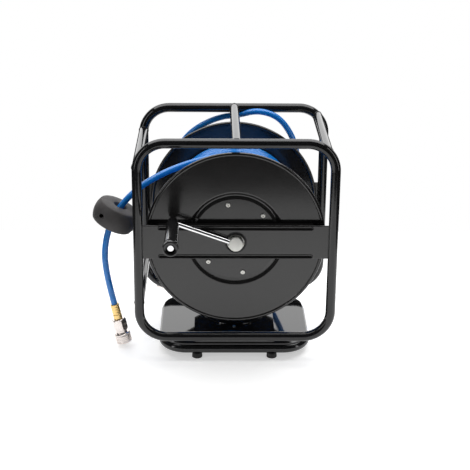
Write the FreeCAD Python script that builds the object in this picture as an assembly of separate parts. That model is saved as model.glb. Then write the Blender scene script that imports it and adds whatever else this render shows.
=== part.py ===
import FreeCAD, Part
import math
import os

# Hose reel for compressed air: a hand-cranked drum in a tubular carrying frame that turns on a low
# footed base.  Millimetres, +Z up.  The crank side faces -Y and the hose leaves on the -X side.
# Places below are measured from the swivel axis (x, y) and from the floor (z).  AXIS_Y moves the
# whole reel so that the origin is under the middle of its bounding box.
V = FreeCAD.Vector

# ---------------------------------------------------------------- driving dimensions
TUBE_R = 9.0              # radius of every frame tube
LOOP_W = 357.0            # upright loops, tube centre to tube centre
LOOP_H = 377.6
LOOP_CORNER_R = 51.0
LOOP_Y = 124.7            # the two loops stand this far in front of and behind the swivel axis
LOOP_MID_Z = 238.0

BASE_W = 272.0            # base loop, tube centre to tube centre
BASE_D = 222.0
BASE_CORNER_R = 45.0
FOOT_H = 9.0
FOOT_R = 10.0
FOOT_X = 71.0
PLATE_T = 2.5             # base plate
STRIP_W = 154.0           # plate under the upright loops
STRIP_T = 3.0

DRUM_Z = 240.0            # height of the drum's axis
DISC_R = 166.0            # over the rolled bead
BEAD_R = 3.8
DISC_T = 1.6
DISC_FRONT_Y = -108.0     # middle of each rolled bead
DISC_REAR_Y = 98.0
GROOVE_R = 83.5           # pressed ring groove round the middle of each disc
GROOVE_DEPTH = 3.2
GROOVE_IN = 77.0
GROOVE_OUT = 91.5
RECESS_DEPTH = 1.2        # the middle, inside the groove, lies this much lower
CORE_R = 76.5
AXLE_R = 12.5
SCREW_PCD_R = 67.4
SCREW_ANGLE = 42.0        # first of six screws

PANEL_H = 65.0
PANEL_T = 2.0
PANEL_FACE_Y = 127.5      # outer face of each panel, in front or behind
FLANGE_DEPTH = 14.0

HOSE_R = 6.0
HOSE_CLEAR = 0.06
LAYER_RISE = 12.1         # each layer of wound hose lies this much further out
PACK_LAYERS = 3           # full layers; the fourth covers only the rear part of the drum
LAST_LAYER_Y = 33.8       # front edge of the fourth layer
OUTLET_Y = -88.0          # where the hose leaves the axle inside the core
LIFT_OFF_R = 119.6        # the free hose rounds the full layers at this radius
CRANK_ANGLE = 20.0        # rest position, above the -X direction
CRANK_THROW = 121.5
ARM_R = 4.6
ARM_Y = -135.5
HUB_R = 13.2
GRIP_R = 14.2             # at its outer end
GRIP_END_Y = -268.0
GRIP_START_Y = -146.0
PIN_R = 4.0
RUN_FIT = 0.05            # radial running clearance of shafts and pins

BALL_R = 43.0
BALL_AT = (-224.3, -47.0, 264.0)
BALL_TILT = 26.5          # its bore leans this much to the right of upright
BALL_FACE = 21.0          # flat faces round the hose, from the middle

UNION_END_Y = 160.0       # rear face of the inlet union
AXIS_Y = (-GRIP_END_Y - UNION_END_Y) / 2

# The free hose rounds the wound turns from lower right to the top, lifts off to the left, goes
# through the stopper ball and hangs down to its brass ferrule.
WRAP_ANGLES = (-65, -35, -5, 25, 55, 85)
WRAP_R = LIFT_OFF_R / math.cos(math.radians(15))
WRAP_Y = 27.0
FREE_WRAP = [(WRAP_R * math.cos(math.radians(a)), WRAP_Y, DRUM_Z + WRAP_R * math.sin(math.radians(a)))
             for a in WRAP_ANGLES]
FREE_ROUTE = FREE_WRAP + [
    (-50.0, 26.0, 355.0), (-97.0, 15.0, 343.4), (-138.0, -2.0, 331.3), (-177.0, -27.0, 315.0),
    (-208.0, -42.0, 289.8), (-231.0, -48.0, 255.9), (-243.0, -52.0, 219.4), (-247.0, -55.0, 184.0),
    (-243.6, -57.0, 150.0), (-237.2, -58.0, 116.0), (-230.6, -58.6, 86.5),
]
PLUG_Z = 8.6              # axis of the plug where it lies on the floor
# The inlet hose, from the union's barb, over the back of the drum and down to the floor behind.
INLET_ROUTE = [
    (-42.0, 146.0, 246.0), (-80.0, 146.5, 254.0), (-107.0, 145.5, 282.0), (-114.0, 139.0, 322.0),
    (-101.0, 126.0, 361.0), (-70.0, 115.5, 389.0), (-30.0, 119.0, 404.0), (5.0, 117.0, 408.5),
    (44.0, 108.2, 426.5), (88.0, 109.4, 413.0), (116.0, 113.5, 372.0), (128.0, 124.0, 325.0),
    (133.0, 137.0, 276.0), (131.0, 149.0, 226.0), (121.0, 160.0, 175.0), (102.0, 173.0, 126.0),
    (76.0, 188.0, 81.0),
    (40.0, 203.0, 42.0), (-4.0, 215.0, 15.0), (-54.0, 222.0, 7.4), (-104.0, 217.0, PLUG_Z),
]


# ---------------------------------------------------------------- helpers
def cyl(radius, start, end):
    a, b = V(*start), V(*end)
    return Part.makeCylinder(radius, (b - a).Length, a, b - a)


def cone(r1, r2, start, end):
    a, b = V(*start), V(*end)
    return Part.makeCone(r1, r2, (b - a).Length, a, b - a)


def fuse(shapes):
    return shapes[0].multiFuse(shapes[1:]).removeSplitter() if len(shapes) > 1 else shapes[0]


def box(x0, x1, y0, y1, z0, z1):
    return Part.makeBox(x1 - x0, y1 - y0, z1 - z0, V(x0, y0, z0))


def along(start, unit, distance):
    return tuple(s + u * distance for s, u in zip(start, unit))


def unit_vector(a, b):
    d = V(*b) - V(*a)
    d.normalize()
    return (d.x, d.y, d.z)


def swept(wire, radius, start, direction):
    circle = Part.Wire(Part.makeCircle(radius, V(*start), V(*direction)))
    return wire.makePipeShell([circle], True, True)


def route_wire(points):
    """Straight runs joined by tangent arcs, each arc as large as its two runs allow."""
    pts = [V(*p) for p in points]
    edges = []
    radii = []
    last = pts[0]
    for before, here, after in zip(pts, pts[1:], pts[2:]):
        back, ahead = before - here, after - here
        shorter = min(back.Length, ahead.Length)
        turn = math.pi - back.getAngle(ahead)
        cut = 0.45 * shorter
        radius = cut / math.tan(turn / 2)
        radii.append(radius)
        back.normalize()
        ahead.normalize()
        start, end = here + back * cut, here + ahead * cut
        inward = back + ahead
        inward.normalize()
        centre = here + inward * (radius / math.cos(turn / 2))
        middle = centre - inward * radius
        edges.append(Part.LineSegment(last, start).toShape())
        edges.append(Part.Arc(start, middle, end).toShape())
        last = end
    edges.append(Part.LineSegment(last, pts[-1]).toShape())
    return Part.Wire(edges), radii


def route_tube(points, radius, label=None):
    wire, radii = route_wire(points)
    first = unit_vector(points[0], points[1])
    tube = swept(wire, radius, points[0], first)
    if label:
        section = math.pi * radius * radius * wire.Length
        print(label, "length %.0f," % wire.Length,
              "volume / (section x length) %.4f," % (tube.Volume / section),
              "radii", " ".join("%.0f" % r for r in radii))
    return tube


def rounded_outline(width, depth, radius, place):
    """Closed wire of a rounded rectangle; place(u, v) gives the point in space."""
    w, d, r = width / 2, depth / 2, radius
    k = r * (1 - math.sqrt(0.5))
    edges = []
    corners = [(1, 1), (-1, 1), (-1, -1), (1, -1)]
    ends = []
    for sx, sy in corners:
        along_v = place(sx * w, sy * (d - r))
        along_u = place(sx * (w - r), sy * d)
        mid = place(sx * (w - k), sy * (d - k))
        pair = (along_v, along_u) if sx * sy > 0 else (along_u, along_v)
        edges.append(Part.Arc(pair[0], mid, pair[1]).toShape())
        ends.append(pair)
    for i in range(4):
        edges.append(Part.LineSegment(ends[i][1], ends[(i + 1) % 4][0]).toShape())
    return Part.Wire(Part.__sortEdges__(edges))


def tube_loop(width, depth, radius, place, start, direction):
    return swept(rounded_outline(width, depth, radius, place), TUBE_R, start, direction)


def revolved_y(profile, centre_z=DRUM_Z):
    """Turn a list of (y, r) points about the drum's axis."""
    pts = [V(0, y, centre_z + r) for y, r in profile]
    face = Part.Face(Part.makePolygon(pts + pts[:1]))
    return face.revolve(V(0, 0, centre_z), V(0, 1, 0), 360)


def on_circle(radius, angle, y, cx=0.0, cz=DRUM_Z):
    a = math.radians(angle)
    return (cx + radius * math.cos(a), y, cz + radius * math.sin(a))


def hexagon(across_flats, start, end, up=V(0, 0, 1)):
    a, b = V(*start), V(*end)
    axis = b - a
    length = axis.Length
    axis.normalize()
    side = axis.cross(up)
    if side.Length < 0.01:
        side = V(1, 0, 0)
    side.normalize()
    other = axis.cross(side)
    r = across_flats / math.sqrt(3)
    pts = []
    for i in range(6):
        t = math.radians(60 * i)
        pts.append(a + side * (r * math.cos(t)) + other * (r * math.sin(t)))
    return Part.Face(Part.makePolygon(pts + pts[:1])).extrude(axis * length)


# ---------------------------------------------------------------- base (stands on the floor)
def base_nodes():
    tube_z = FOOT_H + TUBE_R
    loop = tube_loop(BASE_W, BASE_D, BASE_CORNER_R, lambda u, v: V(u, v, tube_z),
                     (BASE_W / 2, 0, tube_z), (0, 1, 0))
    plate_z = tube_z + TUBE_R
    outline = rounded_outline(BASE_W + 8, BASE_D + 8, BASE_CORNER_R + 4, lambda u, v: V(u, v, plate_z))
    plate = Part.Face(outline).extrude(V(0, 0, PLATE_T))
    feet, screws = [], []
    for sx in (-1, 1):
        for sy in (-1, 1):
            x, y = sx * FOOT_X, sy * BASE_D / 2
            foot = cone(FOOT_R, FOOT_R - 1.2, (x, y, 0), (x, y, FOOT_H + 1.4))
            shank = cyl(2.5, (x, y, 3), (x, y, 16))
            head = cyl(4.6, (x, y, 1.2), (x, y, 3.6))
            feet.append(foot.cut(cyl(5.2, (x, y, 0), (x, y, 3.6))).cut(shank).cut(loop))
            screws.append(head.fuse(shank))
    for screw in screws:
        loop = loop.cut(screw)
    bolt_top = LOOP_MID_Z - LOOP_H / 2 - TUBE_R + 13.0
    plate_top = plate_z + PLATE_T
    bolt = cyl(6, (0, 0, plate_z - 1.6), (0, 0, bolt_top))
    bolt = bolt.fuse(hexagon(19, (0, 0, plate_z - 9.2), (0, 0, plate_z - 1.6)))
    washer = cyl(12, (0, 0, plate_z - 1.6), (0, 0, plate_z)).cut(bolt)
    bolt = bolt.makeChamfer(0.8, [e for e in bolt.Edges if e.BoundBox.ZMin > bolt_top - 0.1])
    plate = plate.cut(cyl(6, (0, 0, plate_z - 1), (0, 0, plate_top + 1)))
    strip_top = LOOP_MID_Z - LOOP_H / 2 - TUBE_R
    nut_z = strip_top + 3.4
    top_washer = cyl(11, (0, 0, strip_top + 0.4), (0, 0, nut_z)).cut(bolt)
    nut = hexagon(19, (0, 0, nut_z), (0, 0, nut_z + 8)).cut(bolt)
    race = cyl(66, (0, 0, plate_top), (0, 0, plate_top + 3.6)).cut(cyl(46, (0, 0, plate_top - 1),
                                                                      (0, 0, plate_top + 5)))
    groove = Part.makeTorus(56, 2.05, V(0, 0, plate_top + 3.9), V(0, 0, 1))
    race = race.cut(groove)
    rivets = []
    for i in range(4):
        a = math.radians(45 + 90 * i)
        x, y = 62 * math.cos(a), 62 * math.sin(a)
        rivets.append(cyl(1.6, (x, y, plate_z), (x, y, plate_top + 3.4)))
        plate, race = plate.cut(rivets[-1]), race.cut(rivets[-1])
    return {
        "base_loop": loop, "base_plate": plate, "lower_race": race, "swivel_bolt": bolt,
        "bolt_washer": washer, "nut_washer": top_washer, "swivel_nut": nut,
        "rubber_feet": Part.makeCompound(feet), "foot_screws": Part.makeCompound(screws),
        "lower_race_rivets": Part.makeCompound(rivets),
    }


# ---------------------------------------------------------------- frame that turns on the base
def upright_loop(y):
    return tube_loop(LOOP_W, LOOP_H, LOOP_CORNER_R, lambda u, v: V(u, y, LOOP_MID_Z + v),
                     (LOOP_W / 2, y, LOOP_MID_Z), (0, 0, 1))


def cross_bar(x, z, loops):
    return cyl(TUBE_R, (x, -LOOP_Y, z), (x, LOOP_Y, z)).cut(loops)


def panel(front, loops):
    """Sheet crossbar with flanged long edges and two pressed beads; it holds one drum bearing."""
    s = -1 if front else 1
    face = s * PANEL_FACE_Y
    inner = s * (PANEL_FACE_Y - PANEL_T)
    flange_end = s * (PANEL_FACE_Y - FLANGE_DEPTH)
    half, w, tab = PANEL_H / 2, LOOP_W / 2, 142.0
    y0, y1 = sorted((face, inner))
    sheet = box(-w, w, y0, y1, DRUM_Z - half, DRUM_Z + half)
    f0, f1 = sorted((face, flange_end))
    lips = [box(-tab, tab, f0, f1, z, z + PANEL_T)
            for z in (DRUM_Z - half, DRUM_Z + half - PANEL_T)]
    shape = fuse([sheet] + lips)
    long_edges = [e for e in shape.Edges if abs(e.BoundBox.YMin - face) < 0.01
                  and abs(e.BoundBox.YMax - face) < 0.01 and e.BoundBox.XLength > 250
                  and e.BoundBox.ZLength < 0.01]
    shape = shape.makeFillet(1.6, long_edges)
    bead_z, bead_x = 27.2, 138.0
    for z in (DRUM_Z - bead_z, DRUM_Z + bead_z):
        for radius, y, add in ((5.2, inner, True), (4.0, face, False)):
            rib = fuse([cyl(radius, (-bead_x, y, z), (bead_x, y, z)),
                        Part.makeSphere(radius, V(-bead_x, y, z)),
                        Part.makeSphere(radius, V(bead_x, y, z))])
            if add:
                keep0, keep1 = sorted((inner, inner - s * 4.0))
                rib = rib.common(box(-w, w, keep0, keep1, z - 6, z + 6))
                shape = shape.fuse(rib)
            else:
                shape = shape.cut(rib)
    bore0, bore1 = sorted((face + s * 5, flange_end - s * 5))
    return shape.cut(cyl(17, (0, bore0, DRUM_Z), (0, bore1, DRUM_Z))).cut(loops)


def bearing(front):
    """Flanged plain bush pressed into a panel."""
    s = -1 if front else 1
    face = s * PANEL_FACE_Y
    flange = cyl(20, (0, face, DRUM_Z), (0, face + s * 2.6, DRUM_Z))
    barrel = cyl(17, (0, face - s * 10, DRUM_Z), (0, face, DRUM_Z))
    bush = flange.fuse(barrel)
    return bush.cut(cyl(AXLE_R + RUN_FIT, (0, face - s * 20, DRUM_Z), (0, face + s * 10, DRUM_Z)))


def union_parts():
    """Inlet union on the rear end of the hollow axle, with a barbed elbow for the inlet hose."""
    body = cyl(15, (0, 132, DRUM_Z), (0, UNION_END_Y, DRUM_Z))
    body = body.common(hexagon(27, (0, 132, DRUM_Z), (0, UNION_END_Y, DRUM_Z)))
    body = body.cut(cyl(9 + RUN_FIT, (0, 130, DRUM_Z), (0, 154, DRUM_Z)))
    exit_at = INLET_ROUTE[0]
    way = unit_vector(INLET_ROUTE[1], exit_at)
    reach = -exit_at[0] / way[0]
    start = along(exit_at, way, reach)
    way = tuple(-w for w in way)
    body = body.cut(cyl(4, start, along(start, way, 30)))
    elbow = cyl(7.5, along(start, way, 13.0), along(start, way, reach - 16))
    elbow = elbow.fuse(hexagon(17, along(start, way, 18), along(start, way, reach - 17), V(0, 1, 0)))
    elbow = elbow.cut(cyl(4, start, along(start, way, reach + 5))).cut(body)
    ferrule = cyl(7.4, along(start, way, reach - 16), exit_at)
    ferrule = ferrule.cut(cyl(4, start, along(start, way, reach + 5)))
    return body, elbow, ferrule


def stopper(hose_hole):
    """Rubber ball of two bolted halves, clamped on the hose so that the end can't be wound in."""
    bx, by, bz = BALL_AT
    lean = math.radians(BALL_TILT)
    axis = V(math.sin(lean), 0, math.cos(lean))
    centre = V(bx, by, bz)
    ball = Part.makeSphere(BALL_R, centre, V(0, 1, 0))
    between = Part.makeCylinder(BALL_R + 1, 2 * BALL_FACE, centre - axis * BALL_FACE, axis)
    gap = 0.3
    reach = BALL_R + 7
    halves = []
    for y0, y1 in ((-reach, -gap / 2), (gap / 2, reach)):
        half = ball.common(box(bx - reach, bx + reach, by + y0, by + y1, bz - reach, bz + reach))
        half = half.common(between)
        for way in (axis, -axis):
            mouth_r, depth = 13.0, 12.0
            inner = centre + way * (BALL_FACE - depth)
            half = half.cut(Part.makeCone(HOSE_R + 1, mouth_r, depth, inner, way))
        halves.append(half.cut(hose_hole))
    front, rear = halves
    # One bolt with a nut goes in from the front, the other from the rear into a blind hole.
    seat, head_t = 14.0, 3.0
    x, z = bx - 23.5, bz + 10.0
    bolt = cyl(2, (x, by - seat, z), (x, by + seat + 4, z))
    bolt = bolt.fuse(cyl(3.6, (x, by - seat - head_t, z), (x, by - seat, z)))
    nut = hexagon(7, (x, by + seat, z), (x, by + seat + 3.2, z)).cut(bolt)
    front = front.cut(cyl(3.8, (x, by - reach, z), (x, by - seat, z))).cut(bolt)
    rear = rear.cut(cyl(4.5, (x, by + seat, z), (x, by + reach, z))).cut(bolt)
    x, z = bx + 17.9, bz - 19.7
    second = cyl(2, (x, by - seat + 2, z), (x, by + seat, z))
    second = second.fuse(cyl(3.6, (x, by + seat, z), (x, by + seat + head_t, z)))
    rear = rear.cut(cyl(3.8, (x, by + seat, z), (x, by + reach, z))).cut(second)
    front = front.cut(second)
    print("stopper halves", round(front.Volume), round(rear.Volume))
    return front, rear, Part.makeCompound([bolt, nut, second])


def coupler():
    """Brass ferrule, hexagonal coupler body, sprung sleeve and its rubber seal."""
    end = FREE_ROUTE[-1]
    way = unit_vector(FREE_ROUTE[-2], end)
    at = lambda d: along(end, way, d)
    ferrule = cone(8.4, 8.0, at(0), at(19)).fuse(cyl(7.2, at(19), at(21.5)))
    ferrule = ferrule.fuse(cyl(8.4, at(21.5), at(31))).cut(cyl(3, at(-1), at(40)))
    nut = hexagon(24.5, at(31), at(55), V(0, 1, 0))
    nose = cyl(10.8, at(55), at(82.5))
    body = nut.fuse(nose)
    body = body.cut(cyl(3, at(30), at(60))).cut(cyl(7, at(60), at(64))).cut(cyl(5.6, at(64), at(90)))
    sleeve = fuse([cyl(15.6, at(61.5), at(81)), cone(14.2, 15.6, at(60), at(61.5))])
    sleeve = sleeve.cut(cyl(10.8 + RUN_FIT, at(50), at(90)))
    grooves = [cyl(16, at(d), at(d + 1.2)).cut(cyl(15.0, at(d), at(d + 1.2))) for d in (65, 69, 73, 77)]
    sleeve = sleeve.cut(fuse(grooves))
    seal = cyl(7, at(60), at(64)).cut(cyl(4, at(59), at(65)))
    return ferrule, body, sleeve, seal


def inlet_plug():
    """Ferrule and male quick plug on the end of the inlet hose."""
    end = INLET_ROUTE[-1]
    flat = (INLET_ROUTE[-1][0] - INLET_ROUTE[-2][0], INLET_ROUTE[-1][1] - INLET_ROUTE[-2][1], 0)
    length = math.hypot(flat[0], flat[1])
    way = (flat[0] / length, flat[1] / length, 0.0)
    at = lambda d: along(end, way, d)
    ferrule = cyl(7.2, at(0), at(26)).cut(cyl(3, at(-1), at(30)))
    plug = fuse([hexagon(14.4, at(26), at(34), V(0, 0, 1)), cyl(5.4, at(34), at(44)),
                 cyl(6.0, at(44), at(47)), cyl(4.2, at(47), at(58))])
    return ferrule, plug.cut(cyl(2.4, at(20), at(60)))


def frame_nodes():
    front_loop, rear_loop = upright_loop(-LOOP_Y), upright_loop(LOOP_Y)
    loops = front_loop.fuse(rear_loop)
    top = LOOP_MID_Z + LOOP_H / 2
    side = LOOP_W / 2
    corner_in = LOOP_CORNER_R * (1 - math.sqrt(0.5))
    strip_top = LOOP_MID_Z - LOOP_H / 2 - TUBE_R
    strip_z = strip_top - STRIP_T
    strip = box(-STRIP_W / 2, STRIP_W / 2, -LOOP_Y, LOOP_Y, strip_z, strip_top)
    ends = [e for e in strip.Edges if e.BoundBox.ZLength > 1]
    strip = strip.makeFillet(8, ends)
    strip = strip.cut(cyl(6 + RUN_FIT, (0, 0, strip_z - 1), (0, 0, strip_top + 1)))
    boss = cyl(58, (0, 0, strip_top), (0, 0, strip_top + 3))
    boss = boss.cut(cyl(50, (0, 0, strip_top), (0, 0, strip_top + 3)))
    boss = boss.makeChamfer(1.2, [e for e in boss.Edges if e.BoundBox.ZMin > strip_top + 2.9])
    race_z = FOOT_H + 2 * TUBE_R + PLATE_T + 4.2
    race = cyl(66, (0, 0, race_z), (0, 0, strip_z)).cut(cyl(46, (0, 0, race_z - 1), (0, 0, strip_z + 1)))
    ball_z = race_z - 0.3
    race = race.cut(Part.makeTorus(56, 2.05, V(0, 0, ball_z), V(0, 0, 1)))
    balls = []
    for i in range(24):
        a = math.radians(15 * i)
        balls.append(Part.makeSphere(2.0, V(56 * math.cos(a), 56 * math.sin(a), ball_z)))
    rivets = []
    for i in range(4):
        a = math.radians(90 * i)
        x, y = 62 * math.cos(a), 62 * math.sin(a)
        rivet_head = cyl(3, (x, y, strip_top), (x, y, strip_top + 1.5))
        rivet = cyl(1.6, (x, y, race_z + 0.4), (x, y, strip_top)).fuse(rivet_head)
        rivets.append(rivet)
        strip, race = strip.cut(rivet), race.cut(rivet)
    body, elbow, inlet_ferrule = union_parts()
    free_hose = route_tube(FREE_ROUTE, HOSE_R, "free hose")
    inlet_hose = route_tube(INLET_ROUTE, HOSE_R, "inlet hose")
    half_front, half_rear, bolts = stopper(route_tube(FREE_ROUTE[9:14], HOSE_R + HOSE_CLEAR))
    ferrule, coupler_body, sleeve, seal = coupler()
    plug_ferrule, plug = inlet_plug()
    return {
        "front_loop": front_loop, "rear_loop": rear_loop,
        "top_bar_middle": cross_bar(0, top, loops),
        "top_bar_right": cross_bar(side - corner_in, top - corner_in, loops),
        "top_bar_left": cross_bar(-side, LOOP_MID_Z + 143, loops),
        "side_bar_lower": cross_bar(-side, LOOP_MID_Z - 120, loops),
        "bottom_strip": strip, "bottom_ring": boss, "upper_race": race,
        "race_balls": Part.makeCompound(balls), "upper_race_rivets": Part.makeCompound(rivets),
        "front_panel": panel(True, loops), "rear_panel": panel(False, loops),
        "front_bush": bearing(True), "rear_bush": bearing(False),
        "union_body": body, "union_elbow": elbow, "union_ferrule": inlet_ferrule,
        "inlet_hose": inlet_hose, "inlet_plug_ferrule": plug_ferrule, "inlet_plug": plug,
        "free_hose": free_hose, "stopper_front_half": half_front, "stopper_rear_half": half_rear,
        "stopper_bolts": bolts, "hose_ferrule": ferrule, "coupler_body": coupler_body,
        "coupler_sleeve": sleeve, "coupler_seal": seal,
    }


# ---------------------------------------------------------------- drum, crank and grip
def drum_disc(front):
    """Pressed sheet side of the drum: rolled rim, flat ring and a recessed middle."""
    s = -1 if front else 1
    rim = DISC_FRONT_Y if front else DISC_REAR_Y
    out = rim + s * 2.0
    back = out - s * DISC_T
    low = out - s * RECESS_DEPTH
    low_back = low - s * DISC_T
    bore = AXLE_R
    ring = DISC_R - BEAD_R
    slopes = []
    for start, end, depth0, depth1 in ((GROOVE_IN, GROOVE_R, RECESS_DEPTH, GROOVE_DEPTH),
                                       (GROOVE_R, GROOVE_OUT, GROOVE_DEPTH, 0.0)):
        for step in range(8):
            share = step / 8
            ease = (1 - math.cos(math.pi * share)) / 2
            slopes.append((out - s * (depth0 + (depth1 - depth0) * ease), start + (end - start) * share))
    slopes.append((out, GROOVE_OUT))
    under = [(y - s * DISC_T, r) for y, r in reversed(slopes)]
    sheet = revolved_y([(low, bore)] + slopes + [(out, ring - 1.5), (rim, ring), (rim - s * 0.6, ring - 1.0),
                                                 (back, ring - 3.0)] + under + [(low_back, bore)])
    bead = Part.makeTorus(ring, BEAD_R, V(0, rim, DRUM_Z), V(0, 1, 0))
    disc = sheet.fuse(bead)
    return disc, low, low_back


def disc_screws(low, low_back, s, plate_y):
    """Six pan-head screws that hold a disc to the core's end plate."""
    screws = []
    for i in range(6):
        angle = SCREW_ANGLE + 60 * i
        head = cyl(4.4, on_circle(SCREW_PCD_R, angle, low), on_circle(SCREW_PCD_R, angle, low + s * 2.2))
        edge = [e for e in head.Edges if abs(e.BoundBox.YMin - (low + s * 2.2)) < 0.01]
        head = head.makeFillet(1.2, edge)
        shank = cyl(2.4, on_circle(SCREW_PCD_R, angle, low), on_circle(SCREW_PCD_R, angle, plate_y))
        socket = cyl(1.5, on_circle(SCREW_PCD_R, angle, low + s * 1.0),
                     on_circle(SCREW_PCD_R, angle, low + s * 3))
        screws.append(head.fuse(shank).cut(socket))
    return screws


def crank():
    """Hub on the axle's end, chrome arm, and the pin that carries the grip."""
    cap_y = -140.5
    back_y = -130.6
    hub = cyl(HUB_R, (0, back_y, DRUM_Z), (0, cap_y, DRUM_Z))
    front_edge = [e for e in hub.Edges if abs(e.BoundBox.YMin - cap_y) < 0.01 and e.BoundBox.YLength < 0.01]
    hub = hub.makeFillet(1.0, front_edge)
    hub = hub.cut(cyl(8, (0, back_y + 1, DRUM_Z), (0, cap_y + 3.2, DRUM_Z)))
    tip = on_circle(CRANK_THROW, 180 - CRANK_ANGLE, ARM_Y)
    start = on_circle(HUB_R - 5.2, 180 - CRANK_ANGLE, ARM_Y)
    rod = cyl(ARM_R, start, tip)
    eye = cyl(9.0, (tip[0], ARM_Y + 5.2, tip[2]), (tip[0], ARM_Y - 5.5, tip[2]))
    hub = hub.cut(rod)
    pin_end = GRIP_END_Y + 5.0
    pin = cyl(PIN_R, (tip[0], ARM_Y + 5.2, tip[2]), (tip[0], pin_end + 4, tip[2]))
    arm = rod.fuse(eye).cut(pin)
    cap = cyl(6.6, (tip[0], pin_end + 4, tip[2]), (tip[0], pin_end - 1, tip[2]))
    cap_edge = [e for e in cap.Edges if abs(e.BoundBox.YMin - (pin_end - 1)) < 0.01
                and e.BoundBox.YLength < 0.01]
    cap = cap.makeFillet(1.6, cap_edge)
    return hub, arm, pin, cap, tip


def grip(tip):
    """Long plastic grip that turns freely on its pin."""
    x, z = tip[0], tip[2]
    profile = [(GRIP_START_Y, GRIP_R - 3.6), (GRIP_START_Y - 2, GRIP_R - 2.7),
               (GRIP_START_Y - 60, GRIP_R - 2.3), (GRIP_END_Y + 30, GRIP_R - 1.5),
               (GRIP_END_Y + 12, GRIP_R - 0.9), (GRIP_END_Y + 8, GRIP_R), (GRIP_END_Y + 1.5, GRIP_R),
               (GRIP_END_Y, GRIP_R - 1.5)]
    pts = [V(x, GRIP_START_Y, z)] + [V(x, y, z + r) for y, r in profile] + [V(x, GRIP_END_Y, z)]
    body = Part.Face(Part.makePolygon(pts + pts[:1])).revolve(V(x, 0, z), V(0, 1, 0), 360)
    body = body.cut(cyl(PIN_R + RUN_FIT, (x, 0, z), (x, GRIP_END_Y - 1, z)))
    return body.cut(cyl(8.4, (x, GRIP_END_Y + 10, z), (x, GRIP_END_Y - 1, z)))


def drum_nodes():
    front, low_f, back_f = drum_disc(True)
    rear, low_r, back_r = drum_disc(False)
    plate_t = 3.0
    core = cyl(CORE_R, (0, back_f, DRUM_Z), (0, back_r, DRUM_Z))
    core = core.cut(cyl(CORE_R - 1.5, (0, back_f - 1, DRUM_Z), (0, back_r + 1, DRUM_Z)))
    core = core.cut(cyl(7.5, on_circle(66, 90, OUTLET_Y), on_circle(86, 112, OUTLET_Y)))
    end_front = cyl(CORE_R - 1.5, (0, back_f, DRUM_Z), (0, back_f + plate_t, DRUM_Z))
    end_rear = cyl(CORE_R - 1.5, (0, back_r, DRUM_Z), (0, back_r - plate_t, DRUM_Z))
    axle = fuse([cyl(AXLE_R, (0, -130.1, DRUM_Z), (0, 130.6, DRUM_Z)),
                 cyl(8, (0, -137.3, DRUM_Z), (0, -130.1, DRUM_Z)),
                 cyl(9, (0, 130.6, DRUM_Z), (0, 153, DRUM_Z))])
    axle = axle.cut(cyl(4, (0, OUTLET_Y - 5, DRUM_Z), (0, 160, DRUM_Z)))
    axle = axle.cut(cyl(4, (0, OUTLET_Y, DRUM_Z), (0, OUTLET_Y, DRUM_Z + 20)))
    seal_groove = Part.makeTorus(8.4, 1.2, V(0, 139, DRUM_Z), V(0, 1, 0))
    ring = seal_groove.common(cyl(9.0, (0, 130, DRUM_Z), (0, 150, DRUM_Z)))
    axle = axle.cut(seal_groove)
    ends = fuse([cyl(AXLE_R, (0, -130.1, DRUM_Z), (0, 130.6, DRUM_Z))])
    end_front, end_rear = end_front.cut(ends), end_rear.cut(ends)
    screws_f = disc_screws(low_f, back_f, -1, back_f + plate_t)
    screws_r = disc_screws(low_r, back_r, 1, back_r - plate_t)
    for screw in screws_f:
        front, end_front = front.cut(screw), end_front.cut(screw)
    for screw in screws_r:
        rear, end_rear = rear.cut(screw), end_rear.cut(screw)
    up = lambda height: (0, OUTLET_Y, DRUM_Z + height)
    outlet = fuse([cyl(6.5, up(AXLE_R - 0.5), up(40)), hexagon(17, up(16), up(26), V(0, 1, 0)),
                   cyl(7.4, up(40), up(62))])
    outlet = outlet.cut(cyl(3, up(0), up(70))).cut(axle)
    full = CORE_R + 0.3 + PACK_LAYERS * LAYER_RISE
    pocket = GROOVE_DEPTH - RECESS_DEPTH + 0.8
    start, end = back_f + pocket, back_r - pocket
    pack = revolved_y([(start, CORE_R + 0.3), (start, full), (LAST_LAYER_Y, full),
                       (LAST_LAYER_Y, full + LAYER_RISE), (end, full + LAYER_RISE), (end, CORE_R + 0.3)])
    hub, arm, pin, cap, tip = crank()
    nodes = {
        "front_disc": front, "rear_disc": rear, "core_tube": core, "core_end_front": end_front,
        "core_end_rear": end_rear, "axle": axle, "axle_seal": ring,
        "front_disc_screws": Part.makeCompound(screws_f), "rear_disc_screws": Part.makeCompound(screws_r),
        "core_outlet": outlet, "wound_hose": pack,
        "crank_hub": hub.cut(axle), "crank_arm": arm, "crank_pin": pin, "grip_cap": cap,
    }
    return nodes, {"crank_grip": grip(tip)}, tip


# ---------------------------------------------------------------- build and write
def main():
    os.makedirs("parts", exist_ok=True)
    drum, grip_node, tip = drum_nodes()
    nodes = {}
    for group in (base_nodes(), frame_nodes(), drum, grip_node):
        nodes.update(group)
    for name, shape in nodes.items():
        shape.translate(V(0, AXIS_Y, 0))
        if not shape.isValid() or shape.Volume <= 0:
            print("bad solid", name, shape.isValid(), shape.Volume)
        shape.exportStep("parts/%s.step" % name)
    print(len(nodes), "nodes; swivel axis y %.1f; grip pin (%.2f, %.2f)" % (AXIS_Y, tip[0], tip[2]))


main()
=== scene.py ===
import bmesh
import bpy
import math
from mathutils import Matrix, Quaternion, Vector


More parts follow.
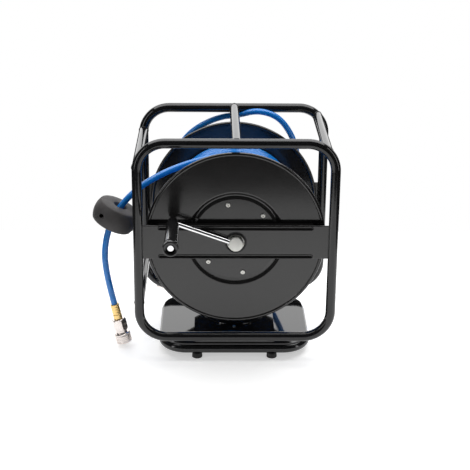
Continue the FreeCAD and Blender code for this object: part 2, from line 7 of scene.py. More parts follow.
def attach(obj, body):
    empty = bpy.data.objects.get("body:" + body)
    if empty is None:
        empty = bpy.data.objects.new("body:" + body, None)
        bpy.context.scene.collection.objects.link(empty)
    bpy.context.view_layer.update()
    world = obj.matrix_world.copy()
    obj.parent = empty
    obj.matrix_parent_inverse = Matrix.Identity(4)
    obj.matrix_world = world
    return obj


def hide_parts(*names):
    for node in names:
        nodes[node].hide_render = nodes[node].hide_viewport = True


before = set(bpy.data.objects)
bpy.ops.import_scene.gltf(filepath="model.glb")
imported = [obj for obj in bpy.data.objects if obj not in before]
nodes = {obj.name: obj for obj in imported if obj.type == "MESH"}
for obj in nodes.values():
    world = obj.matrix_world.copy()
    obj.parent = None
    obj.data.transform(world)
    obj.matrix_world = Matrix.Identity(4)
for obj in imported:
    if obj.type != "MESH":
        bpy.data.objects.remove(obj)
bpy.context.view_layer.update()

# Hose reel for compressed air: a drum of blue hose, cranked by hand, in a black tube frame that
# turns on a low footed base.  Metres; +Z up, the crank faces -Y and the hose leaves on the -X side.

# ---------------------------------------------------------------- camera
# A short telephoto on a stand in front of the reel, a little above it, turned by half a degree.
camera_place = Vector((-0.0441, -2.1283, 1.0350))
camera_target = Vector((0.00126, 0.05397, 0.20616))
camera_roll = math.radians(0.533)


def put_in_scene(name, data):
    """Sets a new object with this shape, lens or lamp in the scene."""
    thing = bpy.data.objects.new(name, data)
    bpy.context.scene.collection.objects.link(thing)
    return thing


def point_at(thing, place, target, roll=0.0):
    """Stands a camera or a lamp at a place and turns it to its target."""
    thing.location = place
    thing.rotation_mode = "QUATERNION"
    thing.rotation_quaternion = ((Vector(target) - Vector(place)).to_track_quat("-Z", "Y")
                                 @ Quaternion((0, 0, 1), roll))


camera_lens = bpy.data.cameras.new("studio_camera")
camera_lens.sensor_width = 36.0
camera_lens.lens = 92.37
camera = put_in_scene("studio_camera", camera_lens)
point_at(camera, camera_place, camera_target, camera_roll)
bpy.context.scene.camera = camera

# ---------------------------------------------------------------- blue hose: the free end
# Smooth blue air hose, 8 mm bore and 12 mm outside.  It rounds the wound turns, lifts off to the
# left, goes through the rubber stopper ball and hangs down to its brass ferrule.
hose_radius = 0.006
axis_y = 0.054
drum_axis = Vector((0.0, axis_y, 0.240))


def surface_finish(name, colour, second, patch, roughness, spread, grain, relief, **sockets):
    """A finish whose colour drifts between two tones, with uneven gloss and a fine relief.
    patch and grain count the spots per metre; relief is the depth of the grain in metres."""
    material = bpy.data.materials.new(name)
    material.use_nodes = True
    tree = material.node_tree
    shader = tree.nodes["Principled BSDF"]
    for socket, value in sockets.items():
        shader.inputs[socket.replace("_", " ")].default_value = value
    place = tree.nodes.new("ShaderNodeTexCoord")
    blotches = tree.nodes.new("ShaderNodeTexNoise")
    blotches.inputs["Scale"].default_value = patch
    blotches.inputs["Detail"].default_value = 4.0
    tree.links.new(place.outputs["Object"], blotches.inputs["Vector"])
    tones = tree.nodes.new("ShaderNodeValToRGB")
    tones.color_ramp.elements[0].position = 0.32
    tones.color_ramp.elements[0].color = (*second, 1.0)
    tones.color_ramp.elements[1].position = 0.68
    tones.color_ramp.elements[1].color = (*colour, 1.0)
    tree.links.new(blotches.outputs["Fac"], tones.inputs["Fac"])
    tree.links.new(tones.outputs["Color"], shader.inputs["Base Color"])
    speckle = tree.nodes.new("ShaderNodeTexNoise")
    speckle.inputs["Scale"].default_value = grain
    speckle.inputs["Detail"].default_value = 3.0
    tree.links.new(place.outputs["Object"], speckle.inputs["Vector"])
    gloss = tree.nodes.new("ShaderNodeMapRange")
    gloss.inputs["From Min"].default_value = 0.3
    gloss.inputs["From Max"].default_value = 0.7
    gloss.inputs["To Min"].default_value = roughness - spread
    gloss.inputs["To Max"].default_value = roughness + spread
    tree.links.new(blotches.outputs["Fac"], gloss.inputs["Value"])
    tree.links.new(gloss.outputs["Result"], shader.inputs["Roughness"])
    bump = tree.nodes.new("ShaderNodeBump")
    bump.inputs["Strength"].default_value = 1.0
    bump.inputs["Distance"].default_value = relief
    tree.links.new(speckle.outputs["Fac"], bump.inputs["Height"])
    tree.links.new(bump.outputs["Normal"], shader.inputs["Normal"])
    return material


def smooth_line(name, points, radius, steps, roundness):
    """A round bar along one smooth line, which is given by its control points."""
    curve = bpy.data.curves.new(name, "CURVE")
    curve.dimensions = "3D"
    line = curve.splines.new("NURBS")
    line.points.add(len(points) - 1)
    for knot, place in zip(line.points, points):
        knot.co = (*place, 1.0)
    line.order_u = 3
    line.use_endpoint_u = True
    line.resolution_u = steps
    curve.bevel_depth = radius
    curve.bevel_resolution = roundness
    curve.use_fill_caps = True
    return curve


hose_blue = surface_finish("hose_blue", (0.003, 0.205, 0.66), (0.002, 0.175, 0.58), patch=30.0,
                           roughness=0.27, spread=0.05, grain=900.0, relief=0.00004,
                           Coat_Weight=0.25, Coat_Roughness=0.18, IOR=1.52)


def hose_run(name, points, body, steps):
    """A length of the blue hose along its route."""
    curve = smooth_line(name, points, hose_radius, steps, roundness=5)
    curve.materials.append(hose_blue)
    hose = put_in_scene(name, curve)
    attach(hose, body)
    return hose


def round_drum(radius, angle, y):
    """A point round the drum; angles in degrees from the right, turning up and over to the left."""
    turn = math.radians(angle)
    return (radius * math.cos(turn), y, drum_axis.z + radius * math.sin(turn))


lift_off_radius = 0.1196
free_turn_y = axis_y + 0.027
wrap_step = 30
wrap_radius = lift_off_radius / math.cos(math.radians(wrap_step / 2))
free_route = [round_drum(wrap_radius, angle, free_turn_y) for angle in range(-65, 90, wrap_step)]
free_route += [
    (-0.0500, 0.0800, 0.3550), (-0.0970, 0.0690, 0.3434), (-0.1380, 0.0520, 0.3313),
    (-0.1770, 0.0270, 0.3150), (-0.2080, 0.0120, 0.2898), (-0.2310, 0.0060, 0.2559),
    (-0.2430, 0.0020, 0.2194), (-0.2470, -0.0010, 0.1840), (-0.2436, -0.0030, 0.1500),
    (-0.2372, -0.0040, 0.1160), (-0.2306, -0.0046, 0.0865),
]
free_end = hose_run("hose_free_end", free_route, "frame", steps=16)
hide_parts("free_hose")

# ---------------------------------------------------------------- blue hose: the inlet
# The same hose feeds the reel.  It leaves the barbed elbow behind the drum, arches over the back of
# the drum under the carrying bar and comes down behind the reel to its plug on the floor.
inlet_route = [
    (-0.042, 0.2000, 0.2460), (-0.080, 0.2005, 0.2540), (-0.107, 0.1995, 0.2820),
    (-0.114, 0.1930, 0.3220), (-0.101, 0.1820, 0.3610), (-0.068, 0.1770, 0.3910),
    (-0.026, 0.1840, 0.4075), (0.009, 0.1770, 0.4125), (0.046, 0.1625, 0.4262),
    (0.088, 0.1634, 0.4130), (0.116, 0.1675, 0.3720), (0.128, 0.1780, 0.3250),
    (0.133, 0.1910, 0.2760), (0.131, 0.2030, 0.2260), (0.121, 0.2140, 0.1750),
    (0.102, 0.2270, 0.1260), (0.076, 0.2420, 0.0810), (0.040, 0.2570, 0.0420),
    (-0.004, 0.2690, 0.0150), (-0.054, 0.2760, 0.0074), (-0.104, 0.2710, 0.0086),
]
inlet_line = hose_run("hose_inlet", inlet_route, "frame", steps=16)
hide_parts("inlet_hose")

# ---------------------------------------------------------------- blue hose: the turns on the drum
# Three full layers and the start of a fourth, wound side by side from wall to wall.  The inner end
# comes out of the core near the front wall and the outer end runs on as the free hose.
turn_points = 14
wall_front = axis_y - 0.0944
wall_rear = axis_y + 0.0844
layer_radii = (0.0828, 0.0949, 0.1070, 0.1191)
layer_turns = 14.62
last_turns = 4.70
climb_points = 4
control_reach = 1 / math.cos(math.pi / turn_points)
step_angle = 360 / turn_points
outlet_y = axis_y - 0.088
winding = [round_drum(0.062, 90, outlet_y), round_drum(0.074, 97, outlet_y - 0.0005),
           round_drum(0.0845, 112, outlet_y - 0.004)]
angle = 130.0
layer_points = round(layer_turns * turn_points)
last_points = round(last_turns * turn_points)
for layer, radius in enumerate(layer_radii):
    start, stop = (wall_front, wall_rear) if layer % 2 == 0 else (wall_rear, wall_front)
    count = last_points if radius == layer_radii[-1] else layer_points
    for point in range(count):
        travel = point / layer_points * (stop - start)
        winding.append(round_drum(radius * control_reach, angle, start + travel))
        angle += step_angle
    if radius < layer_radii[-1]:
        rise = layer_radii[layer + 1] - radius
        for point in range(climb_points):
            lift = math.sin(math.pi / 2 * (point + 0.5) / climb_points)
            winding.append(round_drum((radius + rise * lift) * control_reach, angle, stop))
            angle += step_angle
winding.append(round_drum(lift_off_radius, 295, free_turn_y))
wound_turns = hose_run("hose_wound", winding, "drum", steps=4)
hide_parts("wound_hose")

# ---------------------------------------------------------------- brass ferrule on the free end
# A thin brass sleeve crimped on the hose in three rings, with a neck and a collar against the
# coupler's hexagon.  It is turned from bar and pressed round the hose.
coupler_start = Vector(free_route[-1])
coupler_way = (coupler_start - Vector(free_route[-2])).normalized()
crease_angle = math.radians(28)


def smooth_but_creased(mesh):
    """Smooth shading that keeps turned edges crisp."""
    mesh.shade_smooth()
    mesh.set_sharp_from_angle(angle=crease_angle)


def turned(name, profile, places, finish, body, steps=64, flats=None, ridges=0,
           ridge_depth=0.0, ring=False):
    """Turned pieces of one profile, a list of (distance along the axis, radius) from end to end.
    A row marked "hexagon" is milled to `flats` across, and one marked "ridged" is knurled."""
    mesh = bpy.data.meshes.new(name)
    shape = bmesh.new()
    for start, way in places:
        way = Vector(way).normalized()
        upright = abs(way.z) > 0.999
        side = (way.orthogonal() if upright else way.cross((0, 0, 1))).normalized()
        other = way.cross(side)
        rows = []
        for distance, radius, *mark in profile:
            middle = Vector(start) + way * distance
            if radius < 1e-6:
                rows.append([shape.verts.new(middle)])
                continue
            row = []
            for step in range(steps):
                turn = 2 * math.pi * step / steps
                reach = radius
                if "hexagon" in mark:
                    off_flat = (turn + math.pi / 6) % (math.pi / 3) - math.pi / 6
                    reach = min(radius, flats / 2 / math.cos(off_flat))
                elif "ridged" in mark:
                    reach = radius - ridge_depth * (0.5 + 0.5 * math.cos(ridges * turn))
                row.append(shape.verts.new(middle + side * (reach * math.cos(turn))
                                           + other * (reach * math.sin(turn))))
            rows.append(row)
        pairs = list(zip(rows, rows[1:])) + ([(rows[-1], rows[0])] if ring else [])
        for here, there in pairs:
            for step in range(steps):
                after = (step + 1) % steps
                if len(here) == 1 and len(there) > 1:
                    shape.faces.new((here[0], there[after], there[step]))
                elif len(there) == 1 and len(here) > 1:
                    shape.faces.new((here[step], here[after], there[0]))
                elif len(here) > 1:
                    shape.faces.new((here[step], here[after], there[after], there[step]))
    bmesh.ops.recalc_face_normals(shape, faces=shape.faces)
    shape.to_mesh(mesh)
    shape.free()
    smooth_but_creased(mesh)
    mesh.materials.append(finish)
    piece = put_in_scene(name, mesh)
    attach(piece, body)
    return piece


def crimped(outer, length, crimps, depth, tail):
    """Profile of a ferrule: rounded lip, pressed rings, then a plain tail against its fitting."""
    bore = 0.0055
    rows = [(length, bore), (0.0002, bore), (0.0, bore + 0.0004), (0.0, outer - 0.0005),
            (0.0006, outer)]
    room = (length - tail) / crimps
    for crimp in range(crimps):
        begin = crimp * room + 0.0015
        rows += [(begin, outer), (begin + room * 0.22, outer - depth),
                 (begin + room * 0.55, outer - depth), (begin + room * 0.76, outer)]
    rows += [(length - tail + 0.0012, outer), (length - 0.0004, outer),
             (length, outer - 0.0004)]
    return rows


brass_bright = surface_finish("brass_bright", (0.86, 0.62, 0.27), (0.76, 0.53, 0.21), patch=60.0,
                              roughness=0.27, spread=0.06, grain=1800.0, relief=0.00003,
                              Metallic=1.0)
ferrule_free = turned(
    "ferrule_free_end",
    crimped(outer=0.0084, length=0.0190, crimps=3, depth=0.00025, tail=0.0030)
    + [(0.0190, 0.0074), (0.0214, 0.0074), (0.0215, 0.0080), (0.0219, 0.0084),
       (0.0300, 0.0084), (0.0306, 0.0078), (0.0308, 0.0040), (0.0190, 0.0040)],
    [(coupler_start, coupler_way)], brass_bright, "frame", ring=True)
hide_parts("hose_ferrule")

# ---------------------------------------------------------------- coupler body
# Nickel-plated steel: a hexagon for the spanner with turned corners, then the nose that the sleeve
# slides on, bored out for the plug of an air tool.
nickel_plate = surface_finish("nickel_plate", (0.84, 0.78, 0.745), (0.70, 0.64, 0.61), patch=90.0,
                              roughness=0.25, spread=0.06, grain=2500.0, relief=0.00002,
                              Metallic=1.0)
coupler_body = turned(
    "coupler_body_turned",
    [(0.0825, 0.0056), (0.0640, 0.0056), (0.0640, 0.0070), (0.0600, 0.0070),
     (0.0600, 0.0040), (0.0310, 0.0040), (0.0310, 0.0118, "hexagon"), (0.0316, 0.0127, "hexagon"),
     (0.0330, 0.0144, "hexagon"), (0.0530, 0.0144, "hexagon"), (0.0544, 0.0129, "hexagon"),
     (0.0550, 0.0118, "hexagon"), (0.0551, 0.0108), (0.0818, 0.0108), (0.0825, 0.0101)],
    [(coupler_start, coupler_way)], nickel_plate, "frame", steps=96, flats=0.0245,
    ring=True)
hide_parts("coupler_body")

# ---------------------------------------------------------------- coupler sleeve and seal
# The sprung sleeve is pulled back towards the hose to let a plug go.  It is turned with five grip
# grooves, and its first band is knurled.  The seal is a rubber ring inside the nose.
sleeve_profile = [(0.0810, 0.01088), (0.0600, 0.01088), (0.0600, 0.0139), (0.0606, 0.0145),
                  (0.0614, 0.0154)]
sleeve_profile += [(0.0616, 0.0156, "ridged"), (0.0640, 0.0156, "ridged")]
for groove in (0.0645, 0.0678, 0.0711, 0.0744):
    sleeve_profile += [(groove, 0.0156), (groove + 0.0003, 0.0149), (groove + 0.0009, 0.0149),
                       (groove + 0.0012, 0.0156)]
sleeve_profile += [(0.0765, 0.0156), (0.0768, 0.0152), (0.0774, 0.0152), (0.0778, 0.0156),
                   (0.0798, 0.0155), (0.0807, 0.0148), (0.0810, 0.0138)]
coupler_sleeve = turned("coupler_sleeve_turned", sleeve_profile, [(coupler_start, coupler_way)],
                        nickel_plate, "sleeve", steps=144, ridges=36,
                        ridge_depth=0.0006, ring=True)
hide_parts("coupler_sleeve")


def dress(node_names, finish):
    """Gives a finish to pieces that are already in the frame with their right shape."""
    for node_name in node_names:
        nodes[node_name].data.materials.clear()
        nodes[node_name].data.materials.append(finish)


rubber_black = surface_finish("rubber_black", (0.012, 0.012, 0.012), (0.020, 0.019, 0.018),
                              patch=80.0, roughness=0.62, spread=0.08, grain=1500.0,
                              relief=0.00008, IOR=1.48)
dress(["coupler_seal"], rubber_black)

# ---------------------------------------------------------------- stopper ball
# Two halves of dull grey moulded rubber, bolted round the hose so that the end can't be wound in.
# It is a ball with a flat face and a wide cone at each end of its bore, and a V-shaped seam.
ball_middle = Vector((-0.2243, 0.0070, 0.2640))
ball_radius = 0.043
ball_face = 0.021
ball_lean = math.radians(26.5)
ball_way = Vector((math.sin(ball_lean), 0.0, math.cos(ball_lean)))
beyond_ball = 0.060
stopper_rubber = surface_finish("stopper_rubber", (0.058, 0.053, 0.053), (0.040, 0.038, 0.039),
                                patch=45.0, roughness=0.60, spread=0.08, grain=1100.0,
                                relief=0.00015, IOR=1.45)


def cutter(profile, start, way, ring=False):
    """A turned solid used only to cut a hole or a groove."""
    return turned("cutter", profile, [(start, way)], stopper_rubber, "frame",
                  ring=ring)


def evaluated_mesh(thing):
    """The mesh of a thing with its modifiers or its curve's thickness applied."""
    bpy.context.view_layer.update()
    graph = bpy.context.evaluated_depsgraph_get()
    return bpy.data.meshes.new_from_object(thing.evaluated_get(graph))


def mesh_along(curve):
    """The mesh of a curve, by way of an object that doesn't stay in the scene."""
    source = put_in_scene("curve_source", curve)
    mesh = evaluated_mesh(source)
    bpy.data.objects.remove(source)
    return mesh


def cut_away(piece, cutters):
    """Takes the cutters' shapes out of a piece, one after another, and removes the cutters."""
    for tool in cutters:
        cut = piece.modifiers.new("cut", "BOOLEAN")
        cut.operation = "DIFFERENCE"
        cut.solver = "EXACT"
        cut.object = tool
    finished = evaluated_mesh(piece)
    piece.modifiers.clear()
    piece.data = finished
    for tool in cutters:
        bpy.data.objects.remove(tool)
    smooth_but_creased(finished)


rim_radius = math.sqrt(ball_radius ** 2 - ball_face ** 2)
rim_turn = math.acos(ball_face / ball_radius)
cone_floor = 0.012 - ball_face
ball_end = [(cone_floor, 0.0), (cone_floor, 0.0070), (0.0012 - ball_face, 0.0124),
            (0.0003 - ball_face, 0.0132), (-ball_face, 0.0142), (-ball_face, rim_radius - 0.0024),
            (0.0005 - ball_face, rim_radius - 0.0009)]
ball_rows = 36
rim_round = 0.05
ball_profile = list(ball_end)
for row in range(ball_rows + 1):
    turn = (math.pi - rim_turn - rim_round
            - (math.pi - 2 * rim_turn - 2 * rim_round) * row / ball_rows)
    ball_profile.append((ball_radius * math.cos(turn), ball_radius * math.sin(turn)))
ball_profile += [(-distance, radius) for distance, radius in reversed(ball_end)]
bolt_seat = 0.014
bolt_hole = 0.0021
bolt_places = [(Vector((-0.0235, 0.0, 0.0100)), "front"), (Vector((0.0179, 0.0, -0.0197)), "rear")]
seam_half = 0.0022
through_ball = free_route[9:14]
hose_clearance = 0.0003
for half, side in (("front", -1), ("rear", 1)):
    shell = turned("stopper_%s" % half, ball_profile, [(ball_middle, ball_way)], stopper_rubber,
                   "frame", steps=96)
    outward = (0, side, 0)
    inward = (0, -side, 0)
    hose_room = smooth_line("cutter_bore", through_ball, hose_radius + hose_clearance, steps=12,
                            roundness=7)
    cutters = [
        cutter([(-0.00015, 0.0), (-0.00015, beyond_ball), (beyond_ball, beyond_ball),
                (beyond_ball, 0.0)], ball_middle, inward),
        cutter([(-seam_half, ball_radius + 0.001), (0.0, ball_radius - seam_half),
                (seam_half, ball_radius + 0.001)], ball_middle, inward, ring=True),
        put_in_scene("cutter_bore", mesh_along(hose_room))]
    for bolt, head_half in bolt_places:
        if half == "rear" or head_half == "front":
            well = 0.0040 if half == head_half else 0.0047
            cutters.append(cutter([(bolt_seat, 0.0), (bolt_seat, well),
                                   (beyond_ball, well + 0.0006), (beyond_ball, 0.0)],
                                  ball_middle + bolt, outward))
        cutters.append(cutter([(-0.001, 0.0), (-0.001, bolt_hole),
                               (bolt_seat + 0.0005, bolt_hole), (bolt_seat + 0.0005, 0.0)],
                              ball_middle + bolt, outward))
    cut_away(shell, cutters)
    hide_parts("stopper_%s_half" % half)

zinc_bright = surface_finish("zinc_bright", (0.66, 0.66, 0.64), (0.52, 0.51, 0.47), patch=140.0,
                             roughness=0.30, spread=0.08, grain=2200.0, relief=0.00002,
                             Metallic=1.0)
dress(["stopper_bolts"], zinc_bright)

# ---------------------------------------------------------------- inlet end: union, elbow, plug
# Brass union on the hollow axle's rear end with a barbed elbow; a crimped ferrule at each end of
# the inlet hose, and a plated plug that lies on the floor behind the reel.
dress(["union_body", "union_elbow", "core_outlet"], brass_bright)
inlet_start = Vector(inlet_route[0])
inlet_way = (inlet_start - Vector(inlet_route[1])).normalized()
inlet_ferrule = turned("ferrule_inlet",
                       crimped(outer=0.0073, length=0.0150, crimps=2, depth=0.00055, tail=0.0025)
                       + [(0.0150, 0.0055)],
                       [(inlet_start, inlet_way)], brass_bright, "frame")
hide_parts("union_ferrule")
plug_start = Vector(inlet_route[-1])
plug_way = Vector((-0.050, -0.005, 0.0)).normalized()
plug_ferrule = turned("ferrule_plug",
                      crimped(outer=0.0072, length=0.0260, crimps=4, depth=0.00055, tail=0.0040)
                      + [(0.0260, 0.0055)],
                      [(plug_start, plug_way)], brass_bright, "frame")
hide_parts("inlet_plug_ferrule")
inlet_plug = turned(
    "inlet_plug_turned",
    [(0.0580, 0.0024), (0.0260, 0.0024), (0.0260, 0.0070, "hexagon"), (0.0264, 0.00755, "hexagon"),
     (0.0270, 0.0083, "hexagon"), (0.0330, 0.0083, "hexagon"), (0.0336, 0.00755, "hexagon"),
     (0.0340, 0.0070, "hexagon"), (0.0340, 0.0054), (0.0432, 0.0054), (0.0440, 0.0060),
     (0.0466, 0.0060), (0.0474, 0.0050), (0.0486, 0.0042), (0.0566, 0.0042), (0.0578, 0.0036),
     (0.0580, 0.0033)],
    [(plug_start, plug_way)], nickel_plate, "frame", steps=96, flats=0.0144,
    ring=True)
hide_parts("inlet_plug")

# ---------------------------------------------------------------- base loop and rubber feet
# One bent steel tube, powder coated in gloss black, on four screwed rubber feet.
gloss_black = surface_finish("gloss_black_coat", (0.0060, 0.0060, 0.0066), (0.0085, 0.0085, 0.0092),
                             patch=22.0, roughness=0.10, spread=0.025, grain=420.0, relief=0.00005,
                             IOR=1.52)
dress(["base_loop"], gloss_black)
foot_across = 0.071
foot_along = 0.111
foot_profile = [(0.0036, 0.0), (0.0036, 0.0050), (0.0004, 0.0054), (0.0, 0.0060), (0.0, 0.0088),
                (0.0006, 0.0096), (0.0016, 0.0100), (0.0042, 0.0098), (0.0046, 0.0094),
                (0.0052, 0.0094), (0.0056, 0.0097), (0.0090, 0.0091), (0.0098, 0.0086),
                (0.0101, 0.0078), (0.0101, 0.0)]
foot_places = [((x, axis_y + y, 0.0), (0, 0, 1)) for x in (-foot_across, foot_across)
               for y in (-foot_along, foot_along)]
feet = turned("feet_moulded", foot_profile, foot_places, rubber_black, "base",
              steps=48)
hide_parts("rubber_feet")
dress(["foot_screws"], zinc_bright)

# ---------------------------------------------------------------- base plate and swivel
# Enamelled sheet on the base loop.  A ring of balls runs between two pressed races, held by one
# bolt with washers and a nut; the strip above carries the upright loops and turns with them.
enamel_black = surface_finish("enamel_black", (0.0050, 0.0050, 0.0056), (0.0068, 0.0068, 0.0076),
                              patch=14.0, roughness=0.06, spread=0.015, grain=160.0,
                              relief=0.00003, IOR=1.6)
dress(["base_plate", "bottom_strip", "bottom_ring"], enamel_black)
dress(["lower_race", "upper_race", "race_balls", "swivel_bolt", "bolt_washer", "nut_washer",
       "swivel_nut", "lower_race_rivets", "upper_race_rivets"], zinc_bright)

# ---------------------------------------------------------------- upright loops, bars and welds
# Two bent tube loops joined by three bars on top and one low on the left, all 18 mm tube.  Rippled
# weld beads run round the bars' ends and down the panels' ends, under the same black coat.
dress(["front_loop", "rear_loop", "top_bar_middle", "top_bar_right", "top_bar_left",
       "side_bar_lower"], gloss_black)
tube_radius = 0.009
loop_distance = 0.1247


def weld_lines(name, lines, radius, closed):
    """Weld beads along lines of points, each bead swelling and thinning in short ripples."""
    curve = bpy.data.curves.new(name, "CURVE")
    curve.dimensions = "3D"
    for points in lines:
        bead = curve.splines.new("POLY")
        bead.points.add(len(points) - 1)
        for number, (knot, place) in enumerate(zip(bead.points, points)):
            knot.co = (*place, 1.0)
            knot.radius = 1.0 + 0.16 * math.cos(number * math.pi / 1.5)
        bead.use_cyclic_u = closed
    curve.bevel_depth = radius
    curve.bevel_resolution = 3
    curve.use_fill_caps = not closed
    mesh = mesh_along(curve)
    mesh.shade_smooth()
    mesh.materials.clear()
    mesh.materials.append(gloss_black)
    piece = put_in_scene(name, mesh)
    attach(piece, "frame")


loop_side = 0.1785
loop_top = 0.4268
diagonal = math.sqrt(0.5)
loop_bend = 0.051
corner_in = loop_bend * (1 - diagonal)
bars = [(0.0, loop_top, (0, 1)),
        (loop_side - corner_in, loop_top - corner_in, (diagonal, diagonal)),
        (-loop_side, 0.381, (1, 0)), (-loop_side, 0.118, (1, 0))]
ring_points = 72
weld_proud = 0.0002
bar_welds = []
for x, z, off_loop in bars:
    for loop_y, inner in ((axis_y - loop_distance, 1), (axis_y + loop_distance, -1)):
        ring = []
        for step in range(ring_points):
            turn = 2 * math.pi * step / ring_points
            across, up = tube_radius * math.cos(turn), tube_radius * math.sin(turn)
            off = across * off_loop[0] + up * off_loop[1]
            depth = math.sqrt(max(tube_radius ** 2 - off ** 2, 0.0))
            ring.append((x + across, loop_y + inner * (depth + weld_proud), z + up))
        bar_welds.append(ring)
weld_lines("bar_welds", bar_welds, radius=0.0009, closed=True)
panel_end = 0.1702
panel_face = 0.1273
panel_half_height = 0.0325
weld_bottom = drum_axis.z - panel_half_height + 0.003
weld_step = 0.0013
weld_points = 46
panel_welds = [[(x, axis_y + y, weld_bottom + step * weld_step) for step in range(weld_points)]
               for y in (-panel_face, panel_face) for x in (-panel_end, panel_end)]
weld_lines("panel_welds", panel_welds, radius=0.0012, closed=False)

# ---------------------------------------------------------------- panels and bearings
# Pressed sheet crossbars, front and rear, with flanged edges and two stiffening beads, in
# semi-gloss charcoal.  Each holds a moulded nylon bush for the axle, with a thin steel washer.
charcoal_coat = surface_finish("charcoal_coat", (0.0150, 0.0145, 0.0145), (0.0120, 0.0116, 0.0116),
                               patch=9.0, roughness=0.15, spread=0.02, grain=700.0, relief=0.00002,
                               IOR=1.60)
dress(["front_panel", "rear_panel"], charcoal_coat)
nylon_black = surface_finish("nylon_black", (0.004, 0.004, 0.0045), (0.007, 0.007, 0.0075),
                             patch=120.0, roughness=0.30, spread=0.05, grain=1300.0,
                             relief=0.00003, IOR=1.42)
lip_out = 0.1278
lip_middle = 0.0177
lip_radius = 0.0023
lip_rows = 12
bush_profile = [(0.1175, 0.01255), (0.1215, 0.01255), (0.1215, 0.0148)]
for row in range(lip_rows + 1):
    turn = math.pi * row / lip_rows
    bush_profile.append((lip_out + lip_radius * math.sin(turn),
                         lip_middle - lip_radius * math.cos(turn)))
bush_profile += [(0.1275, 0.0199), (0.1275, 0.0170), (0.1175, 0.0170)]
washer_profile = [(0.1287, 0.0140), (0.1292, 0.0143), (0.1297, 0.0145), (0.1297, 0.0154),
                  (0.1290, 0.0156), (0.1270, 0.0151), (0.1270, 0.0140)]
for end, way in (("front", (0, -1, 0)), ("rear", (0, 1, 0))):
    bush = turned("%s_bush_moulded" % end, bush_profile, [(drum_axis, way)], nylon_black,
                  "frame", steps=96, ring=True)
    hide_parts("%s_bush" % end)
    turned("%s_bearing_washer" % end, washer_profile, [(drum_axis, way)], zinc_bright,
           "frame", steps=96, ring=True)

# ---------------------------------------------------------------- drum
# Two pressed discs, each with a rolled rim, a ring groove and a recessed middle, screwed to the
# core's end plates with six pan-head screws.  The hollow steel axle carries them and feeds the
# hose.
dress(["front_disc", "rear_disc", "core_tube", "core_end_front", "core_end_rear"], charcoal_coat)
dress(["axle", "front_disc_screws", "rear_disc_screws"], zinc_bright)
dress(["axle_seal"], rubber_black)

# ---------------------------------------------------------------- crank hub and arm
# Satin aluminium cap on the axle's end, faced on a lathe; a polished chrome rod runs from it to the
# pin of the grip.
hub_aluminium = surface_finish("hub_aluminium", (0.70, 0.70, 0.665), (0.60, 0.60, 0.57), patch=70.0,
                               roughness=0.46, spread=0.05, grain=2600.0, relief=0.00002,
                               Metallic=1.0)
hub = turned("crank_hub_cap",
             [(-0.1306, 0.0), (-0.1306, 0.0128), (-0.1310, 0.0132), (-0.1394, 0.0132),
              (-0.1400, 0.0130), (-0.1404, 0.0126), (-0.1405, 0.0120), (-0.1405, 0.0006),
              (-0.1405, 0.0)],
             [(drum_axis, (0, 1, 0))], hub_aluminium, "drum", steps=96)
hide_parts("crank_hub")
chrome = surface_finish("chrome", (0.90, 0.90, 0.91), (0.85, 0.85, 0.86), patch=100.0,
                        roughness=0.06, spread=0.02, grain=500.0, relief=0.00001, Metallic=1.0)
dress(["crank_arm", "crank_pin", "grip_cap"], chrome)

# ---------------------------------------------------------------- grip
# A long gloss-black plastic grip that turns on the pin.  It swells a little towards its outer end,
# where a shallow well holds the pin's cap.
crank_rest = math.radians(20)
crank_throw = 0.1215
pin_shoulder = 0.146
grip_foot = (-crank_throw * math.cos(crank_rest), axis_y - pin_shoulder,
             drum_axis.z + crank_throw * math.sin(crank_rest))
grip_black = surface_finish("grip_black", (0.0070, 0.0070, 0.0075), (0.0100, 0.0100, 0.0105),
                            patch=35.0, roughness=0.15, spread=0.03, grain=700.0, relief=0.00003,
                            IOR=1.52, Coat_Weight=0.2, Coat_Roughness=0.1)
swell_start = 0.0040
swell_length = 0.1050
swell_rows = 20
grip_neck = 0.01135
grip_profile = [(0.1120, 0.00405), (0.0, 0.00405), (0.0, 0.0095), (0.0006, 0.0104),
                (0.0018, 0.0111), (swell_start, grip_neck)]
for row in range(1, swell_rows):
    share = row / swell_rows
    grip_profile.append((swell_start + share * swell_length,
                         grip_neck + 0.0005 * share + 0.0014 * share ** 3))
grip_profile += [(0.1105, 0.0134), (0.1116, 0.0139), (0.1130, 0.0142), (0.1196, 0.0142),
                 (0.1211, 0.01385), (0.1219, 0.0131), (0.1220, 0.0118), (0.1218, 0.0096),
                 (0.1212, 0.00845), (0.1120, 0.00840)]
grip = turned("crank_grip_moulded", grip_profile, [(grip_foot, (0, -1, 0))], grip_black,
              "grip", steps=80, ring=True)
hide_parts("crank_grip")

# ---------------------------------------------------------------- floor and studio light
# A white table in a dark room, lit by one wide soft light overhead, a narrow one on each side and a
# bright backdrop behind.
floor_white = surface_finish("floor_white", (0.86, 0.86, 0.86), (0.84, 0.84, 0.84), patch=2.0,
                             roughness=0.85, spread=0.02, grain=30.0, relief=0.00002,
                             Emission_Color=(1.0, 1.0, 1.0, 1.0), Emission_Strength=0.48)
table_half = 0.75
table_front = -1.0
table_rear = 0.62
table_top = -0.0002
floor_mesh = bpy.data.meshes.new("floor")
corners = [(-table_half, table_front), (table_half, table_front),
           (table_half, table_rear), (-table_half, table_rear)]
floor_mesh.from_pydata([(x, y, table_top) for x, y in corners], [], [(0, 1, 2, 3)])
floor_mesh.materials.append(floor_white)
put_in_scene("floor", floor_mesh)


def soft_box(name, place, target, width, height, watts):
    """A rectangular studio light at place, turned to the target."""
    lamp = bpy.data.lights.new(name, "AREA")
    lamp.shape = "RECTANGLE"
    lamp.size = width
    lamp.size_y = height
    lamp.energy = watts
    point_at(put_in_scene(name, lamp), place, target)


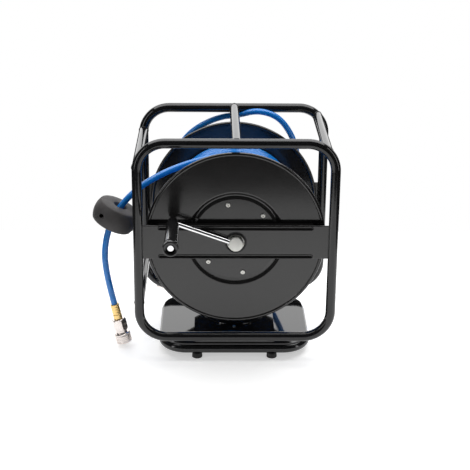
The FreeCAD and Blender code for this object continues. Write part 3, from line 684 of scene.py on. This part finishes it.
soft_box("light_overhead", (0.0, 0.35, 1.75), (0.0, 0.30, 0.2), width=2.6, height=1.5, watts=44.0)
soft_box("light_left", (-1.5, -0.9, 0.7), (0.0, 0.05, 0.25), width=0.30, height=1.5, watts=4.5)
soft_box("light_right", (1.6, -0.7, 0.7), (0.0, 0.05, 0.25), width=0.30, height=1.5, watts=4.5)


def ramp_node(tree, value, low, high, at_low, at_high):
    """Goes smoothly from at_low to at_high as the value goes from low to high."""
    ramp = tree.nodes.new("ShaderNodeMapRange")
    ramp.interpolation_type = "SMOOTHSTEP"
    ramp.inputs["From Min"].default_value = low
    ramp.inputs["From Max"].default_value = high
    ramp.inputs["To Min"].default_value = at_low
    ramp.inputs["To Max"].default_value = at_high
    tree.links.new(value, ramp.inputs["Value"])
    return ramp.outputs["Result"]


world = bpy.data.worlds.new("studio")
bpy.context.scene.world = world
world.use_nodes = True
sky = world.node_tree
white_wall = sky.nodes["Background"]
white_wall.inputs["Color"].default_value = (1.0, 1.0, 1.0, 1.0)
white_wall.inputs["Strength"].default_value = 1.0
room = sky.nodes.new("ShaderNodeBackground")
direction = sky.nodes.new("ShaderNodeTexCoord")
parts = sky.nodes.new("ShaderNodeSeparateXYZ")
sky.links.new(direction.outputs["Generated"], parts.inputs["Vector"])
backdrop_glow = 2.3
room_glow = 0.05
behind = ramp_node(sky, parts.outputs["Y"], 0.45, 0.90, 0.0, backdrop_glow)
above = ramp_node(sky, parts.outputs["Z"], -0.10, 0.02, 0.0, 1.0)
glow = sky.nodes.new("ShaderNodeMath")
glow.operation = "MULTIPLY_ADD"
sky.links.new(behind, glow.inputs[0])
sky.links.new(above, glow.inputs[1])
glow.inputs[2].default_value = room_glow
sky.links.new(glow.outputs["Value"], room.inputs["Strength"])
seen = sky.nodes.new("ShaderNodeLightPath")
mix = sky.nodes.new("ShaderNodeMixShader")
sky.links.new(seen.outputs["Is Camera Ray"], mix.inputs["Fac"])
sky.links.new(room.outputs["Background"], mix.inputs[1])
sky.links.new(white_wall.outputs["Background"], mix.inputs[2])
sky.links.new(mix.outputs["Shader"], sky.nodes["World Output"].inputs["Surface"])
bpy.context.scene.view_settings.view_transform = "Standard"
